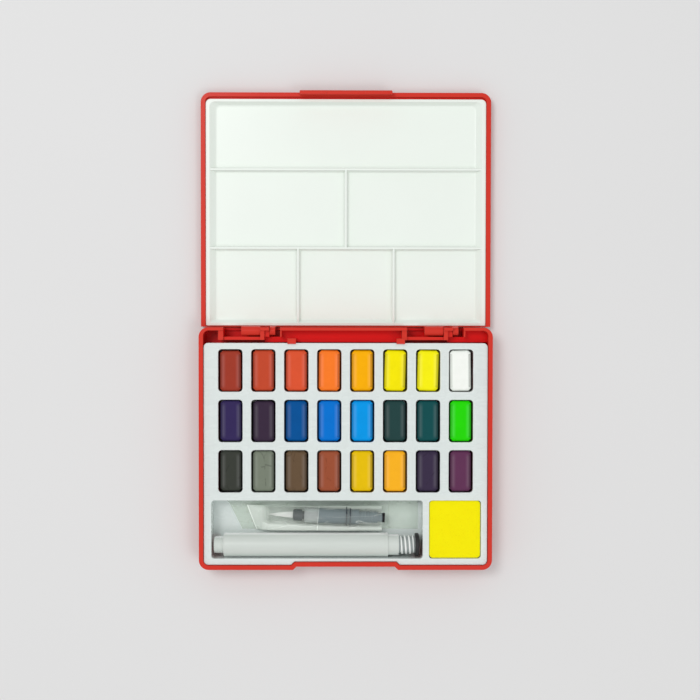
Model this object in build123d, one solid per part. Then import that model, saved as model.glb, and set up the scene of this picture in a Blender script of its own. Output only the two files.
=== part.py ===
from build123d import *
import math
import os

os.makedirs("parts", exist_ok=True)

# A pocket watercolour set, lying open: the lid has turned half a turn back and lies flat on the table.
# Origin at the centre of the base's underside, +Y towards the lid, +Z up. Millimetres.

# Paint wells
well_columns = 8
well_rows = 3
well_width = 13.76
well_length = 24.0
well_web_x = 4.76
well_web_y = 4.38
well_corner = 2.0
well_corner_steps = 3
well_depth = 8.8

# Paint tablets
tablet_side_gap = 0.95
tablet_end_gap = 0.62
tablet_height = 7.7
tablet_bevel_side = 1.5
tablet_bevel_end = 0.8
tablet_bevel_height = 0.8
tablet_corner = 1.5
tablet_corner_steps = 1

# Tray that holds the wells, the brush and the sponge
tray_height = 13.75
tray_plate = 1.2
tray_wall = 0.9
tray_side_margin = 8.05
tray_rear_margin = 3.45
tray_front_margin = 3.4
tray_corner = 2.4
compartment_web_y = 4.4
compartment_depth = 32.95
compartment_corner = 1.8
brush_side_margin = 4.1
sponge_side_margin = 3.45
compartment_web_x = 3.5
sponge_room_width = 29.3
tray_rest_gap = 0.05
cut_overrun = 1.0

# Base shell
base_height = 16.0
base_floor = 1.2
base_wall = 2.45
base_rear_wall = 1.8
base_corner = 5.5
base_bottom_round = 1.8
tray_gap = 0.3
trough_depth_y = 7.05
trough_shelf_top = 9.0
trough_shelf_thickness = 1.2
trough_shelf_gap = 0.4
wall_root = 0.6

# Front notch under the lid's tab, with its snap bump
notch_half_width = 29.55
notch_depth = 1.85
notch_end_slope = 45.0
bump_width = 15.8
bump_proud = 0.3
bump_height = 1.6
bump_flat = 0.8
bump_drop = 2.2

# Hinges: a knuckle on the lid slides sideways on to a pin, and a lug snaps in behind a block
hinge_inset_left = 10.8
hinge_inset_right = 15.3
hinge_axis_in = 2.1
hinge_wall_a = 2.85
hinge_slide_room = 9.9
knuckle_length = 10.6
knuckle_radius = 2.6
hinge_side_gap = 0.15
pin_radius = 1.3
pin_running_gap = 0.06
pin_length = 8.5
hinge_wall_c = 2.25
catch_block = 2.75
catch_block_top = 1.5
lug_length = 3.3
lug_radius = 2.3
lug_room = 2.85
hinge_end_wall = 0.9
hinge_cross_wall = 1.8
hinge_cross_gap = 0.65
hinge_wall_drop = 1.0
cross_wall_drop = 3.0
rear_notch_bottom = 3.1
hinge_foot = 2.8
hinge_foot_proud = 0.5
hinge_foot_shoulder = 1.0
lid_swing_gap = 0.3

# Clips behind the tray
clip_width = 4.7
clip_inset_left = 49.8
clip_inset_right = 49.3
clip_overlap = 0.45
clip_nose = 0.85
clip_post_gap = 0.3
clip_post_depth = 2.3
clip_nose_gap = 0.05

# Lid shell
lid_side_inset = 0.3
lid_front_proud = 0.4
lid_height = 6.4
lid_floor = 1.2
lid_side_wall = 2.6
lid_far_wall = 2.35
lid_rear_lip = 0.55
lid_far_ledge = 1.25
palette_wall_gap = 0.2
lid_bottom_round = 1.6
lid_near_corner = 0.5
rim_gap = 0.1

# Tab on the lid's front edge
tab_half_width = 26.1
tab_hang = 5.0
tab_thickness = 1.7
tab_clearance = 0.6
tab_lip_proud = 1.5
tab_lip_height = 1.9
tab_bead = 0.15
tab_bead_height = 0.7
tab_scoop_half_width = 11.0
tab_scoop_depth = 0.4

# Mixing palette in the lid
palette_gap = 0.15
palette_rest_gap = 0.05
palette_sunk = 0.75
palette_flange = 1.05
palette_side_rim = 2.1
palette_end_rim = 1.4
palette_wall = 0.9
palette_floor = 0.9
palette_slope_x = 3.4
palette_slope_y = 1.6
palette_corner = 3.0
palette_near_corner = 1.4
palette_round = 1.2
palette_far_cell = 38.2
palette_middle_cell = 43.6
palette_rib = 1.0
palette_rib_drop = 0.25
palette_rib_foot = 1.5
palette_bottom_rib_x = 27.2

# Sponge
sponge_gap = 0.2
sponge_height = 12.0
sponge_corner = 2.2
sponge_round = 0.9

# Water tank: the brush's spare barrel, lying along the compartment's front wall
tank_radius = 6.75
tank_wall = 0.9
tank_wall_gap = 0.2
tank_floor_gap = 0.1
tank_left_play = 1.2
tank_right_play = 1.85
tank_tail_length = 5.5
tank_tail_radius = 4.85
tank_ring_length = 1.4
tank_ring_proud = 0.1
tank_neck_length = 6.1
tank_neck_radius = 5.9
tank_thread_length = 9.3
tank_thread_radius = 5.2
tank_bore_radius = 4.25
tank_shoulder_round = 0.5
plug_fit = 0.08
plug_insert_length = 7.9
plug_flange_length = 2.2
plug_flange_radius = 6.6
plug_flange_round = 0.6

# Brush head in its film sachet, tip to the left, lying behind the tank
head_turn = -1.8
head_clear_of_tank = 1.25
head_offset = 0.15
head_right_clear = 21.25
tip_radius = 1.85
tip_length = 15.2
tip_root = 2.6
strand_count = 300
strand_foot = 0.65
strand_size = 0.1
strand_taper = 0.12
strand_stagger = 0.3
collar_length = 5.2
collar_radius = 3.3
collar_front_radius = 2.6
collar_front_length = 0.5
collar_neck_radius = 2.3
collar_fit = 0.05
front_flange_length = 0.7
front_flange_radius = 4.8
front_neck = 1.3
front_length = 7.0
front_radius = 4.2
front_wall = 0.8
core_radius = 1.5
core_fit = 0.08
body_ring_length = 0.9
body_ring_radius = 4.5
body_length = 22.3
body_radius = 4.3
body_wall = 0.9
guard_radius = 5.8
guard_length = 0.6
guard_gap = 1.5
guard_from_end = 5.3
head_thread_length = 10.6
head_thread_radius = 3.3
nozzle_length = 2.7
nozzle_radius = 2.5
seal_length = 1.4
seal_radius = 2.7

# Film sachet
film_wall = 0.2
film_gap = 0.5
sachet_half_width = 7.15
sachet_left_past_tip = 9.6
sachet_right_past_seal = 0.6
sachet_flat_height = 1.6
sachet_flat_length = 8.0
sachet_sides = 14

tablet_names = [
    ["brick_red", "vermilion_brown", "scarlet", "orange", "golden_orange", "yellow", "lemon_yellow", "white"],
    ["violet_blue", "dark_plum", "dark_blue", "blue", "cyan_blue", "green_grey", "dark_teal", "bright_green"],
    ["charcoal", "grey", "brown", "red_brown", "ochre_yellow", "warm_orange", "dark_violet", "purple"],
]
# Tablets that have shifted a little in their wells: to the right, to the rear, and turned in degrees
tablet_shifts = {
    "brick_red": (0, -0.3, 0), "orange": (0, 0, -0.5), "yellow": (0, 0, -1.6), "lemon_yellow": (0, 0, -1.6),
    "white": (-0.25, 0, 0.8), "violet_blue": (0.2, 0, 0), "dark_plum": (0.15, -0.3, 0),
    "charcoal": (0.2, 0.15, 0),
}

# Plan sizes that follow from the contents
wells_width = well_columns * well_width + (well_columns - 1) * well_web_x
wells_depth = well_rows * well_length + (well_rows - 1) * well_web_y
tray_width = wells_width + 2 * tray_side_margin
tray_depth = tray_rear_margin + wells_depth + compartment_web_y + compartment_depth + tray_front_margin
base_width = tray_width + 2 * (tray_gap + base_wall)
base_depth = base_wall + tray_gap + tray_depth + trough_depth_y + base_rear_wall
base_front = -base_depth / 2
base_rear = base_depth / 2
tray_front = base_front + base_wall + tray_gap
tray_rear = tray_front + tray_depth
room_front = tray_front + tray_front_margin
room_rear = room_front + compartment_depth
brush_room_left = -tray_width / 2 + brush_side_margin
sponge_room_right = tray_width / 2 - sponge_side_margin
sponge_room_left = sponge_room_right - sponge_room_width
brush_room_right = sponge_room_left - compartment_web_x

# Heights
tray_bottom = base_floor + tray_rest_gap
tray_top = tray_bottom + tray_height
well_floor = tray_top - well_depth
room_floor = tray_bottom + tray_wall

# Hinge axis: halfway up the closed set, so that the open lid lies flat on the table
closed_height = base_height + rim_gap + lid_height
axis_y = base_rear - hinge_axis_in
axis_z = closed_height / 2
lid_rear = axis_y + hinge_axis_in + lid_swing_gap
lid_far = 2 * axis_y - base_front + lid_front_proud
lid_width = base_width - 2 * lid_side_inset
hinge_length = (hinge_wall_a + hinge_slide_room + knuckle_length + 2 * hinge_side_gap + hinge_wall_c
                + catch_block + lug_length + lug_room + hinge_end_wall)
hinge_starts = [-base_width / 2 + hinge_inset_left, base_width / 2 - hinge_inset_right - hinge_length]

# Palette heights, in the open lid
palette_top = lid_height - palette_sunk
ledge_z = palette_top - palette_flange - palette_rest_gap
palette_under = lid_floor + palette_rest_gap
lid_inner_half = lid_width / 2 - lid_side_wall
palette_half = lid_inner_half - palette_gap
palette_near = lid_rear + lid_rear_lip + palette_gap
palette_far = lid_far - lid_far_wall - lid_far_ledge


def box_between(x0, x1, y0, y1, z0, z1):
    centre = ((x0 + x1) / 2, (y0 + y1) / 2, (z0 + z1) / 2)
    return Pos(*centre) * Box(x1 - x0, y1 - y0, z1 - z0)


def rounded_plate(x0, x1, y0, y1, z0, z1, radius):
    outline = Pos((x0 + x1) / 2, (y0 + y1) / 2, z0) * RectangleRounded(x1 - x0, y1 - y0, radius)
    return extrude(outline, z1 - z0)


def lid_outline(half, near, far, near_radius, far_radius, z):
    # Plan of the lid's parts: nearly square beside the hinges, round at the far end
    plan = Rectangle(2 * half, far - near)
    if near_radius > 0:
        plan = fillet(plan.vertices().group_by(Axis.Y)[0], near_radius)
    plan = fillet(plan.vertices().group_by(Axis.Y)[-1], far_radius)
    return Pos(0, (near + far) / 2, z) * plan


def lid_plate(half, near, far, z0, z1, near_radius, far_radius):
    return extrude(lid_outline(half, near, far, near_radius, far_radius, z0), z1 - z0)


def basin(half, near, far, z0, z1):
    # A tapering block: wide at the top z1, drawn in by the palette's slopes at the bottom z0
    upper = lid_outline(half, near, far, palette_near_corner, palette_corner, z1)
    lower = lid_outline(half - palette_slope_x, near + palette_slope_y, far - palette_slope_y,
                        palette_near_corner, palette_corner, z0)
    return loft([lower.face(), upper.face()], ruled=True)


def stepped_corners(width, length, corner, steps, z):
    # Rectangle about the origin, each of its round corners taken in a few straight steps
    points = []
    for side_x, side_y, start in ((1, 1, 0), (-1, 1, 90), (-1, -1, 180), (1, -1, 270)):
        for step in range(steps + 1):
            angle = math.radians(start + 90 * step / steps)
            points.append((side_x * (width / 2 - corner) + corner * math.cos(angle),
                           side_y * (length / 2 - corner) + corner * math.sin(angle), z))
    return points


def flat_sided(foot, top):
    # Solid with flat sides between two outlines that have the same number of corners
    sides = [[foot[i], foot[i - 1], top[i - 1], top[i]] for i in range(len(foot))]
    faces = [Face(Wire.make_polygon(corners, close=True)) for corners in (foot, top, *sides)]
    return Solid(Shell(faces))


def notched_block(half_width, front, rear, radius, inset, z0, z1):
    # Rounded block with the front notch, whose slanted ends keep an even wall at every inset
    plan = Pos(0, (front + rear) / 2) * RectangleRounded(2 * half_width, rear - front, radius)
    mouth = notch_half_width + inset * math.tan(math.radians(notch_end_slope / 2))
    end_run = notch_depth / math.tan(math.radians(notch_end_slope))
    before = front - cut_overrun
    notch = make_face(Polyline(
        (-mouth, before), (-mouth, front), (end_run - mouth, front + notch_depth),
        (mouth - end_run, front + notch_depth), (mouth, front), (mouth, before), close=True))
    return extrude(Pos(0, 0, z0) * (plan - notch), z1 - z0)


def rod(profile, y, z):
    # Turn an (x, radius) profile about the line parallel to X through (y, z)
    points = [(profile[0][0], 0)] + profile + [(profile[-1][0], 0)]
    face = make_face(Polyline(*points, close=True))
    return Pos(0, y, z) * revolve(face, Axis.X)


def tube(x0, x1, radius, y, z):
    return rod([(x0, radius), (x1, radius)], y, z)


def well_places():
    # Lower left corner of each well, from the rear row to the front row
    for row in range(well_rows):
        y = tray_rear - tray_rear_margin - (row + 1) * well_length - row * well_web_y
        for column in range(well_columns):
            x = -wells_width / 2 + column * (well_width + well_web_x)
            yield row, column, x, y


def base_shell():
    shell = notched_block(base_width / 2, base_front, base_rear, base_corner, 0, 0, base_height)
    shell = fillet(shell.faces().sort_by(Axis.Z)[0].edges(), base_bottom_round)
    cavity = notched_block(base_width / 2 - base_wall, base_front + base_wall, base_rear - base_rear_wall,
                           base_corner - base_wall, base_wall, base_floor, base_height + cut_overrun)
    shell -= cavity
    # Shelf in the trough between the two hinges, and right of the second one
    rear_wall_face = base_rear - base_rear_wall
    shell += trough_shelf(hinge_starts[0] + hinge_length, hinge_starts[1], rear_wall_face)
    shell += trough_shelf(hinge_starts[1] + hinge_length, base_width / 2 - base_wall, rear_wall_face)
    for start in hinge_starts:
        shell = hinge_seat(shell, start)
    for left in clip_lefts():
        shell += tray_clip(left)
    # Snap bump in the notch
    notch_face = base_front + notch_depth
    bump_z = base_height - bump_drop
    bump = make_face(Polyline(
        (notch_face + bump_proud, bump_z), (notch_face, bump_z - bump_height / 2 - bump_proud),
        (notch_face - bump_proud, bump_z - bump_flat / 2), (notch_face - bump_proud, bump_z + bump_flat / 2),
        (notch_face, bump_z + bump_height / 2 + bump_proud), close=True))
    shell += Pos(-bump_width / 2, 0, 0) * extrude(Plane.YZ * bump, bump_width)
    return shell


def trough_shelf(x0, x1, rear):
    return box_between(x0, x1, tray_rear + trough_shelf_gap, rear,
                       trough_shelf_top - trough_shelf_thickness, trough_shelf_top)


def hinge_stations(start):
    # The x places along one hinge, from left to right
    slide_start = start + hinge_wall_a
    wall_c = slide_start + hinge_slide_room + knuckle_length + 2 * hinge_side_gap
    block = wall_c + hinge_wall_c
    lug_start = block + catch_block
    end_wall = lug_start + lug_length + lug_room
    return slide_start, wall_c, block, lug_start, end_wall


def hinge_seat(shell, start):
    slide_start, wall_c, block, lug_start, end_wall = hinge_stations(start)
    inner = base_rear - base_rear_wall
    cross_rear = axis_y - knuckle_radius - hinge_cross_gap
    cross_front = cross_rear - hinge_cross_wall
    wall_top = base_height - hinge_wall_drop
    cross_top = base_height - cross_wall_drop
    far_end = end_wall + hinge_end_wall
    root = base_floor - wall_root
    for x0, x1, front in ((start, slide_start, cross_front), (wall_c, block, cross_front),
                          (end_wall, far_end, cross_rear)):
        shell += box_between(x0, x1, front, inner + base_rear_wall / 2, root, wall_top)
    shell += box_between(start, block, cross_front, cross_rear, root, cross_top)
    shell += trough_shelf(block, far_end, cross_rear)
    # Openings in the rear wall for the knuckle and the lug to swing through
    for x0, x1 in ((slide_start, wall_c), (lug_start, end_wall)):
        shell -= box_between(x0, x1, inner - base_rear_wall, base_rear + cut_overrun,
                             rear_notch_bottom, base_height + cut_overrun)
    # Catch block and pin
    shell += box_between(block, lug_start, cross_rear, inner + base_rear_wall / 2, root,
                         axis_z + catch_block_top)
    shell += tube(wall_c - pin_length, wall_c + hinge_wall_c / 2, pin_radius, axis_y, axis_z)
    return shell


def clip_lefts():
    return (-base_width / 2 + clip_inset_left, base_width / 2 - clip_inset_right - clip_width)


def tray_clip(left):
    # A post behind the tray with a nose that hooks over the tray's rear edge
    post_front = tray_rear + clip_post_gap
    nose_under = tray_top + clip_nose_gap
    post = box_between(left, left + clip_width, post_front, post_front + clip_post_depth,
                       base_floor - wall_root, nose_under + clip_nose)
    nose = box_between(left, left + clip_width, tray_rear - clip_overlap, post_front + clip_post_depth / 2,
                       nose_under, nose_under + clip_nose)
    return post + nose


def pan_tray():
    half = tray_width / 2
    outer = notched_block(half, tray_front, tray_rear, tray_corner, base_wall + tray_gap, tray_bottom, tray_top)
    hollow = notched_block(half - tray_wall, tray_front + tray_wall, tray_rear - tray_wall,
                           tray_corner - tray_wall, base_wall + tray_gap + tray_wall,
                           tray_bottom - cut_overrun, tray_top - tray_plate)
    tray = outer - hollow
    cups = []
    pockets = []
    for row, column, x, y in well_places():
        cups.append(box_between(x - tray_wall, x + well_width + tray_wall, y - tray_wall,
                                y + well_length + tray_wall, well_floor - tray_wall, tray_top - tray_plate / 2))
        rim = stepped_corners(well_width, well_length, well_corner, well_corner_steps, well_floor)
        opening = extrude(make_face(Polyline(*rim, close=True)), well_depth + cut_overrun)
        pockets.append(Pos(x + well_width / 2, y + well_length / 2, 0) * opening)
    for x0, x1 in ((brush_room_left, brush_room_right), (sponge_room_left, sponge_room_right)):
        cups.append(rounded_plate(x0 - tray_wall, x1 + tray_wall, room_front - tray_wall, room_rear + tray_wall,
                                  tray_bottom, tray_top - tray_plate / 2, compartment_corner + tray_wall))
        pockets.append(rounded_plate(x0, x1, room_front, room_rear, room_floor,
                                     tray_top + cut_overrun, compartment_corner))
    return tray + cups - pockets


def paint_tablet(x, y, right, back, turn):
    width = well_width - 2 * tablet_side_gap
    length = well_length - 2 * tablet_end_gap
    shoulder = tablet_height - tablet_bevel_height
    foot = stepped_corners(width, length, tablet_corner, tablet_corner_steps, 0)
    edge = stepped_corners(width, length, tablet_corner, tablet_corner_steps, shoulder)
    top = stepped_corners(width - 2 * tablet_bevel_side, length - 2 * tablet_bevel_end, tablet_corner,
                          tablet_corner_steps, tablet_height)
    tablet = flat_sided(foot, edge).fuse(flat_sided(edge, top))
    middle = Pos(x + well_width / 2 + right, y + well_length / 2 + back, well_floor)
    return middle * Rot(0, 0, turn) * tablet


def closed_to_open(y, z):
    # The lid is described as it sits when shut, then turned half a turn about the hinge axis
    return 2 * axis_y - y, 2 * axis_z - z


def hinge_arm(x0, x1, radius):
    # Round barrel on the axis, with an arm to the lid's rear wall and a foot on its outer face, drawn shut
    rear_face = -(hinge_axis_in + lid_swing_gap)
    inner_face = rear_face - lid_rear_lip / 2
    rim = closed_height - lid_height - axis_z
    arm = [(0, 0), (-radius, 0), (inner_face, rim / 2), (inner_face, rim + hinge_foot),
           (rear_face + hinge_foot_proud, rim + hinge_foot), (rear_face + hinge_foot_shoulder, rim),
           (0, radius)]
    outline = [closed_to_open(axis_y + dy, axis_z + dz) for dy, dz in arm]
    face = make_face(Polyline(*outline, close=True))
    web = Pos(x0, 0, 0) * extrude(Plane.YZ * face, x1 - x0)
    return web + tube(x0, x1, radius, axis_y, axis_z)


def lid_shell():
    half = lid_width / 2
    shell = lid_plate(half, lid_rear, lid_far, 0, lid_height, 0, base_corner)
    shell = fillet(shell.faces().sort_by(Axis.Z)[0].edges(), lid_bottom_round)
    upper_far = lid_far - lid_far_wall
    corner = base_corner - lid_side_wall
    shell -= lid_plate(lid_inner_half, lid_rear + lid_rear_lip, upper_far, ledge_z, lid_height + cut_overrun,
                       lid_near_corner, corner)
    x_outer = palette_half - palette_side_rim + palette_wall + palette_wall_gap
    end_reach = palette_end_rim - palette_wall - palette_wall_gap
    shell -= lid_plate(x_outer, palette_near + end_reach, palette_far - end_reach, lid_floor, lid_height,
                       lid_near_corner, corner)
    for start in hinge_starts:
        shell = lid_hinge(shell, start)
    return shell + lid_tab()


def lid_hinge(shell, start):
    slide_start, wall_c, block, lug_start, end_wall = hinge_stations(start)
    knuckle_right = wall_c - hinge_side_gap
    knuckle_left = knuckle_right - knuckle_length
    shell += hinge_arm(knuckle_left, knuckle_right, knuckle_radius)
    shell += hinge_arm(lug_start + hinge_side_gap, lug_start + lug_length, lug_radius)
    bore = tube(knuckle_left - cut_overrun, knuckle_right + cut_overrun, pin_radius + pin_running_gap,
                axis_y, axis_z)
    return shell - bore


def lid_tab():
    # The tab hangs past the rim in front of the notch; drawn shut as (y, z) and then turned open
    inner = base_front + notch_depth - tab_clearance
    outer = inner - tab_thickness
    rim = base_height + rim_gap
    tip = rim - tab_hang
    front = base_front - lid_front_proud
    catch = base_height - bump_drop - bump_height / 2 - bump_proud - tab_bead_height
    profile = [(inner, rim + lid_floor), (inner, catch + tab_bead_height / 2),
               (inner + tab_bead, catch + tab_bead), (inner + tab_bead, catch - tab_bead),
               (inner, catch - tab_bead_height / 2), (inner, tip), (outer, tip), (outer, rim - tab_lip_height / 2),
               (front - tab_lip_proud, rim + tab_lip_height / 2), (front - tab_lip_proud, rim + tab_lip_height),
               (front + lid_floor, rim + tab_lip_height)]
    outline = [closed_to_open(y, z) for y, z in profile]
    face = make_face(Polyline(*outline, close=True))
    tab = Pos(-tab_half_width, 0, 0) * extrude(Plane.YZ * face, 2 * tab_half_width)
    y_tip, z_tip = closed_to_open(inner, tip)
    scoop = box_between(-tab_scoop_half_width, tab_scoop_half_width, y_tip - tab_thickness,
                        y_tip + 2 * tab_thickness, z_tip - tab_scoop_depth, z_tip + cut_overrun)
    return tab - scoop


def mixing_palette():
    flange = lid_plate(palette_half, palette_near, palette_far, palette_top - palette_flange, palette_top,
                       lid_near_corner, base_corner - lid_side_wall - palette_gap)
    x_rim = palette_half - palette_side_rim
    near = palette_near + palette_end_rim
    far = palette_far - palette_end_rim
    floor_z = palette_under + palette_floor
    outer = basin(x_rim + palette_wall, near - palette_wall, far + palette_wall,
                  palette_under, palette_top - palette_flange / 2)
    inner = basin(x_rim, near, far, floor_z, palette_top)
    inner = fillet(inner.faces().sort_by(Axis.Z)[0].edges(), palette_round)
    overrun = lid_plate(x_rim, near, far, palette_top, palette_top + cut_overrun,
                        palette_near_corner, palette_corner)
    palette = flange + outer - inner - overrun
    rib_top = palette_top - palette_rib_drop
    far_rib = far - palette_far_cell
    near_rib = far_rib - palette_rib - palette_middle_cell
    ribs = [
        palette_rib_bar(-x_rim, x_rim, far_rib, False, floor_z, rib_top),
        palette_rib_bar(-x_rim, x_rim, near_rib, False, floor_z, rib_top),
        palette_rib_bar(near_rib, far_rib, 0, True, floor_z, rib_top),
        palette_rib_bar(near, near_rib, -palette_bottom_rib_x, True, floor_z, rib_top),
        palette_rib_bar(near, near_rib, palette_bottom_rib_x, True, floor_z, rib_top),
    ]
    return palette + ribs


def palette_rib_bar(start, end, place, along_y, z0, z1):
    # A wall between two cells, wider at its foot, running from start to end
    half_top = palette_rib / 2
    half_foot = half_top + palette_rib_foot / 2
    section = [(-half_foot, z0 - palette_floor / 2), (half_foot, z0 - palette_floor / 2), (half_foot, z0),
               (half_top, z0 + palette_rib_foot), (half_top, z1), (-half_top, z1),
               (-half_top, z0 + palette_rib_foot), (-half_foot, z0)]
    face = make_face(Polyline(*section, close=True))
    bar = extrude(Plane.XZ * face, start - end)
    if along_y:
        return Pos(place, start, 0) * bar
    return Pos(start, place, 0) * Rot(0, 0, -90) * bar


def sponge():
    block = rounded_plate(sponge_room_left + sponge_gap, sponge_room_right - sponge_gap,
                          room_front + sponge_gap, room_rear - sponge_gap,
                          room_floor, room_floor + sponge_height, sponge_corner)
    return chamfer(block.faces().sort_by(Axis.Z)[-1].edges(), sponge_round)


# Places along the tank
tank_y = room_front + tank_wall_gap + tank_radius
tank_z = room_floor + tank_floor_gap + tank_radius
tank_left = brush_room_left + tank_left_play
plug_right = brush_room_right - tank_right_play
mouth_x = plug_right - plug_flange_length
thread_x = mouth_x - tank_thread_length
neck_x = thread_x - tank_neck_length
ring_x = neck_x - tank_ring_length
barrel_x = tank_left + tank_tail_length


def water_tank():
    outside = rod([
        (tank_left, tank_tail_radius - tank_shoulder_round),
        (tank_left + tank_shoulder_round, tank_tail_radius),
        (barrel_x, tank_tail_radius), (barrel_x, tank_radius - tank_shoulder_round),
        (barrel_x + tank_shoulder_round, tank_radius), (ring_x, tank_radius),
        (ring_x, tank_radius + tank_ring_proud), (neck_x, tank_radius + tank_ring_proud),
        (neck_x, tank_neck_radius), (thread_x, tank_neck_radius), (thread_x, tank_thread_radius),
        (mouth_x, tank_thread_radius)], tank_y, tank_z)
    inside = rod([
        (tank_left + tank_wall, tank_tail_radius - tank_wall),
        (barrel_x + tank_wall, tank_tail_radius - tank_wall),
        (barrel_x + tank_wall, tank_radius - tank_wall), (neck_x - tank_wall, tank_radius - tank_wall),
        (neck_x - tank_wall, tank_bore_radius), (mouth_x + cut_overrun, tank_bore_radius)], tank_y, tank_z)
    return outside - inside


def tank_plug():
    return rod([
        (mouth_x - plug_insert_length, tank_bore_radius - plug_fit), (mouth_x, tank_bore_radius - plug_fit),
        (mouth_x, plug_flange_radius),
        (plug_right - plug_flange_round, plug_flange_radius),
        (plug_right, plug_flange_radius - plug_flange_round)], tank_y, tank_z)


# Places along the brush head, measured from the collar's front end
collar_end = collar_length
flange_x = collar_end + front_neck
front_end = flange_x + front_flange_length + front_length
body_start = front_end + body_ring_length
body_end = body_start + body_length
head_thread_end = body_end + head_thread_length
nozzle_end = head_thread_end + nozzle_length
seal_end = nozzle_end + seal_length
head_length = tip_length + seal_end
sachet_half_height = guard_radius + film_gap + film_wall
sachet_y = tank_y + tank_radius + head_clear_of_tank + sachet_half_width
head_z = room_floor + tank_floor_gap + sachet_half_height
seal_right = brush_room_right - head_right_clear


def place_head(solid):
    # Lay the head, built along X from its collar, at its slight turn beside the tank
    laid = Rot(0, 0, head_turn) * Pos(-seal_end, 0, 0) * solid
    return Pos(seal_right, sachet_y + head_offset, head_z) * laid


def brush_tip():
    root = tube(0, tip_root, tip_radius, 0, 0)
    golden_angle = math.pi * (3 - math.sqrt(5))
    strands = []
    for index in range(strand_count):
        # Sunflower pattern, so that the strands stand evenly and run towards one point without crossing
        reach = (tip_radius - strand_size) * math.sqrt((index + 0.5) / strand_count)
        angle = index * golden_angle
        length = tip_length * (1 - strand_stagger * reach / tip_radius)
        shrink = 1 - (1 - strand_taper) * length / tip_length
        foot = strand_corners(reach, angle, 1, strand_foot)
        top = strand_corners(reach, angle, shrink, -length)
        strands.append(flat_sided(foot, top))
    return place_head(root.fuse(Compound(strands)))


def strand_corners(reach, angle, shrink, x):
    corners = []
    for turn in (0, 120, 240):
        y = reach * math.cos(angle) + strand_size * math.cos(angle + math.radians(turn))
        z = reach * math.sin(angle) + strand_size * math.sin(angle + math.radians(turn))
        corners.append((x, y * shrink, z * shrink))
    return corners


def brush_collar():
    outside = rod([(0, collar_front_radius), (collar_front_length, collar_radius),
                   (collar_end, collar_radius), (collar_end, collar_neck_radius),
                   (flange_x, collar_neck_radius)], 0, 0)
    socket = tube(-cut_overrun, tip_root + collar_fit, tip_radius + collar_fit, 0, 0)
    bore = tube(tip_root, flange_x + cut_overrun, core_radius + core_fit, 0, 0)
    return place_head(outside - socket - bore)


def brush_front_section():
    barrel_start = flange_x + front_flange_length
    outside = rod([(flange_x, front_flange_radius), (barrel_start, front_flange_radius),
                   (barrel_start, front_radius), (front_end, front_radius)], 0, 0)
    inside = rod([(flange_x - cut_overrun, core_radius + core_fit), (barrel_start, core_radius + core_fit),
                  (barrel_start, front_radius - front_wall),
                  (front_end + cut_overrun, front_radius - front_wall)], 0, 0)
    return place_head(outside - inside)


def feed_core():
    return place_head(tube(tip_root + 2 * collar_fit, head_thread_end, core_radius, 0, 0))


def brush_body():
    guard_2 = body_end - guard_from_end
    guard_1 = guard_2 - guard_gap - guard_length
    outside = rod([(front_end, body_ring_radius), (body_start, body_ring_radius), (body_start, body_radius),
                   (guard_1, body_radius), (guard_1, guard_radius), (guard_1 + guard_length, guard_radius),
                   (guard_1 + guard_length, body_radius), (guard_2, body_radius), (guard_2, guard_radius),
                   (guard_2 + guard_length, guard_radius), (guard_2 + guard_length, body_radius),
                   (body_end, body_radius), (body_end, head_thread_radius),
                   (head_thread_end, head_thread_radius), (head_thread_end, nozzle_radius), (nozzle_end, nozzle_radius)], 0, 0)
    inside = rod([(front_end - cut_overrun, core_radius + core_fit), (body_start, core_radius + core_fit),
                  (body_start, body_radius - body_wall), (body_end - body_wall, body_radius - body_wall),
                  (body_end - body_wall, core_radius + core_fit),
                  (nozzle_end + cut_overrun, core_radius + core_fit)], 0, 0)
    return place_head(outside - inside)


def brush_end_seal():
    ring = tube(nozzle_end, seal_end, seal_radius, 0, 0)
    stem = tube(head_thread_end + collar_fit, nozzle_end, core_radius, 0, 0)
    return place_head(ring + stem)


def sachet_section(x, z, half_width, half_height):
    # Many-sided ellipse across the sachet, its film creased along the corners
    corners = []
    for side in range(sachet_sides):
        angle = 2 * math.pi * side / sachet_sides
        corners.append((x, sachet_y + half_width * math.cos(angle), z + half_height * math.sin(angle)))
    return Face(Wire.make_polygon(corners, close=True))


def sachet_loft(left, right, inset):
    # Flat at the left cut, where the film lies on the floor, and full from the brush's tip onwards
    floor_z = room_floor + tank_floor_gap
    flat = sachet_flat_height / 2
    half = sachet_half_width - inset
    sections = [
        sachet_section(left, floor_z + flat, half, flat - inset),
        sachet_section(left + sachet_flat_length, floor_z + 2 * flat, half, 2 * flat - inset),
        sachet_section(seal_right - head_length, head_z, half, sachet_half_height - inset),
        sachet_section(right, head_z, half, sachet_half_height - inset),
    ]
    return loft(sections, ruled=True)


def brush_sachet():
    left = seal_right - head_length - sachet_left_past_tip
    right = seal_right + sachet_right_past_seal
    return sachet_loft(left, right, 0) - sachet_loft(left, right, film_wall)


nodes = {
    "base_shell": base_shell,
    "lid_shell": lid_shell,
    "pan_tray": pan_tray,
    "mixing_palette": mixing_palette,
    "sponge": sponge,
    "water_tank": water_tank,
    "tank_plug": tank_plug,
    "brush_tip": brush_tip,
    "brush_collar": brush_collar,
    "brush_front_section": brush_front_section,
    "feed_core": feed_core,
    "brush_body": brush_body,
    "brush_end_seal": brush_end_seal,
    "brush_sachet": brush_sachet,
}

for name, build_node in nodes.items():
    export_step(build_node(), f"parts/{name}.step")

for row, column, x, y in well_places():
    colour = tablet_names[row][column]
    right, back, turn = tablet_shifts.get(colour, (0, 0, 0))
    export_step(paint_tablet(x, y, right, back, turn), f"parts/tablet_{colour}.step")

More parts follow.
